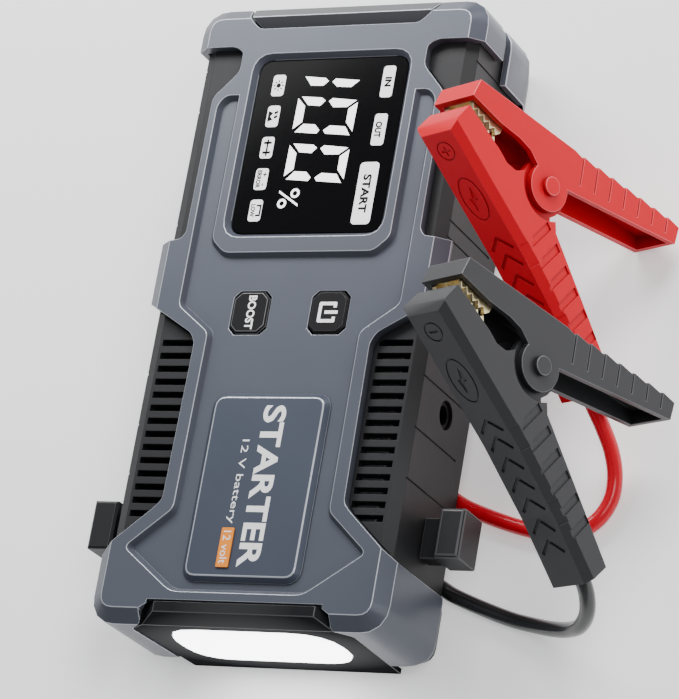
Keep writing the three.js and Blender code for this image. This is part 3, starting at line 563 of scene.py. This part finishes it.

# ---- work lamp ----
# A black panel closes the tail end round a frosted, lit window. The window's light spilling over the panel
# is a painted glow in the panel, and the panel's outer corners carry a dull painted highlight. A bright
# reflector and the board with its LEDs are behind the window.
PAINTED_GLOW_REACH = 3.0
PAINTED_GLOW_STRENGTH = 0.04
lamp_black = finish("lamp_black", (0.018, 0.019, 0.021), 0.55, grain=0.4, relief=0.08, edge=0.3, gloss=0.0)
dull_highlight = finish("dull_highlight", (0.07, 0.07, 0.073), 0.4, grain=0.4, relief=0.08, edge=0.3)
softened("lamp_panel", 0.2, lamp_black, "pack", edge_highlight=dull_highlight)
lens_low, lens_high = (Vector(corner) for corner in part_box("lamp_lens"))
lens_middle, lens_half = (lens_low + lens_high) / 2, (lens_high - lens_low) / 2
# Painted glow: the panel gives off a little light that fades away from the window.
on_panel = position(lamp_black)
panel_surface = lamp_black.node_tree.nodes["Principled BSDF"]
across = (on_panel.node("SeparateXYZ", None, {0: on_panel}, 0) - lens_middle.x) * (1 / lens_half.x)
up = (on_panel.node("SeparateXYZ", None, {0: on_panel}, 2) - lens_middle.z) * (1 / lens_half.z)
painted_glow_mask = on_panel.maths("MAXIMUM", PAINTED_GLOW_REACH - across * across - up * up, 0.0)
painted_glow = on_panel.node("Mix", {"data_type": "RGBA"}, {0: painted_glow_mask * PAINTED_GLOW_STRENGTH, 6: (0, 0, 0, 1),
                                                    7: (1, 1, 1, 1)}, 2)
on_panel.tree.links.new(painted_glow.socket, panel_surface.inputs["Emission Color"])
panel_surface.inputs["Emission Strength"].default_value = 1.0
softened("lamp_lens", 0.5, lit("lit_window", (1.0, 1.0, 1.0), 7.0), "pack")
paint("lamp_reflector", finish("vacuum_chrome", (0.8, 0.8, 0.8), 0.12, metallic=1.0, relief=0.02))
board_green = finish("solder_mask", (0.02, 0.14, 0.06), 0.35, grain=1.2, relief=0.08, coat=0.3)
for node in ("lamp_board", "main_board", "button_board"):
    paint(node, board_green)

# ---- feet and hooks ----
# A rubber foot under the tail keeps the pack level. A moulded black block stands out on each side, to wind
# the leads round or to hook a strap over.
softened("tail_foot", 0.5, finish("foot_rubber", (0.02, 0.02, 0.02), 0.75, grain=0.8, relief=0.3), "pack")
hook_plastic = finish("hook_plastic", (0.013, 0.0135, 0.015), 0.45, grain=0.4, relief=0.15, edge=0.3,
                      gloss=0.3)
# Their outer corners carry the dull painted highlight.
softened("right_hook", 0.4, hook_plastic, "pack", edge_highlight=dull_highlight)
softened("left_hook", 0.4, hook_plastic, "pack", edge_highlight=dull_highlight)

# ---- cells and power parts ----
# Three foil pouch cells on each other, with the switches, the heat sink and the starting relay. The closed
# casing hides them all.
foil = finish("cell_foil", (0.3, 0.31, 0.33), 0.45, grain=3.0, relief=0.15, metallic=0.6, uneven=0.2)
for number in range(1, 4):
    softened(f"battery_cell_{number}", 0.6, foil, "pack")
extrusion = finish("sink_extrusion", (0.62, 0.63, 0.65), 0.35, grain=0.3, metallic=1.0)
for node in ("heat_sink", "boost_switch", "power_switch"):
    paint(node, extrusion)
paint("start_relay", hook_plastic)

# ---- lead outlet ----
# The leads leave a clamped block in the bay at the back, each through a tapered boot of its own colour.
softened("lead_outlet", 0.5, hook_plastic, "pack")
silicone = {
    "red": finish("red_silicone", (0.8, 0.003, 0.02), 0.25, grain=0.6, relief=0.03, mottle=0.06,
                  coat=0.2, edge=0.1, gloss=0.3),
    "black": finish("black_silicone", (0.022, 0.022, 0.023), 0.22, grain=0.6, relief=0.03, coat=0.4,
                    edge=0.1),
}
for colour, sleeve in sleeves.items():
    softened(f"{colour}_lead_boot", 0.4, silicone[colour], "pack")
    sleeve.data.materials.append(silicone[colour])

# ---- clamps ----
# Two spring clamps with channel-shaped handles moulded in glass-filled nylon, red for plus and black for
# minus. Brass jaws are riveted inside, and a coiled spring round the pivot closes them.
CLAMP_TURN = math.radians(67.55)
PIVOTS = {"red": (80.5, 33.5, 55.6), "black": (93.85, -30.36, 70.03)}
SPRING_TURNS = 5
SPRING_POINTS = 18 * SPRING_TURNS
SPRING_RADIUS = 4.6
SPRING_WIDTH = 6.0
SPRING_WIRE = 0.55
WIRE_ROUNDNESS = 3
# Strong painted shade darkens the handles in their channels and where they meet other parts.
handle_nylon = {
    "red": finish("red_nylon", (0.72, 0.001, 0.014), 0.45, grain=0.45, relief=0.16, mottle=0.06, edge=0.3,
                  gloss=0.2, reach=12.0, painted_shade=0.7),
    "black": finish("black_nylon", (0.034, 0.034, 0.037), 0.42, grain=0.45, relief=0.16, mottle=0.1,
                    edge=0.3, gloss=0.35, reach=12.0, painted_shade=0.7),
}
# A painted highlight: lighter nylon on the outer rounded corners of the handles.
handle_highlight = {
    "red": finish("red_nylon_highlight", (0.95, 0.1, 0.12), 0.35, grain=0.45, relief=0.1, mottle=0.2, edge=0.3),
    "black": finish("black_nylon_highlight", (0.14, 0.14, 0.15), 0.35, grain=0.45, relief=0.1, mottle=0.2,
                    edge=0.3),
}
brass = finish("stamped_brass", (0.92, 0.78, 0.46), 0.3, grain=0.6, relief=0.06, mottle=0.12, metallic=1.0,
               edge=0.2)
spring_steel = finish("spring_steel", (0.6, 0.6, 0.62), 0.25, grain=0.2, relief=0.05, metallic=1.0,
                      edge=0.05)


def coil_spring(colour):
    """The closing spring, coiled round the pivot pin of its clamp."""
    to_clamp = Matrix.Translation(Vector(PIVOTS[colour]) * MM) @ Matrix.Rotation(CLAMP_TURN, 4, "Y")
    coils = []
    for i in range(SPRING_POINTS + 1):
        turn = 2 * math.pi * SPRING_TURNS * i / SPRING_POINTS
        at = Vector((SPRING_RADIUS * math.cos(turn), SPRING_RADIUS * math.sin(turn),
                     SPRING_WIDTH * (i / SPRING_POINTS - 0.5))) * MM
        coils.append(to_clamp @ at)
    spring = bar(f"{colour}_coil_spring", coils, SPRING_WIRE * MM, WIRE_ROUNDNESS, f"{colour}_clamp_spring")
    spring.data.materials.append(spring_steel)
    return spring


for colour, sleeve in sleeves.items():
    on_lead = [
        softened(f"{colour}_clamp_lower_half", 0.18, handle_nylon[colour], "pack", edge_highlight=handle_highlight[colour],
                 join=0.03),
        softened(f"{colour}_clamp_upper_half", 0.18, handle_nylon[colour], f"{colour}_clamp_upper",
                 edge_highlight=handle_highlight[colour], clamped=False),
        softened(f"{colour}_clamp_lower_jaw", 0.15, brass, "pack"),
        softened(f"{colour}_clamp_upper_jaw", 0.15, brass, f"{colour}_clamp_upper"),
        softened(f"{colour}_clamp_pivot_pin", 0.3, handle_nylon[colour], "pack", edge_highlight=handle_highlight[colour]),
        coil_spring(colour),
    ]
    route = routes[colour]
    sum((b - a).length for a, b in zip(route, route[1:]))

bpy.context.view_layer.update()
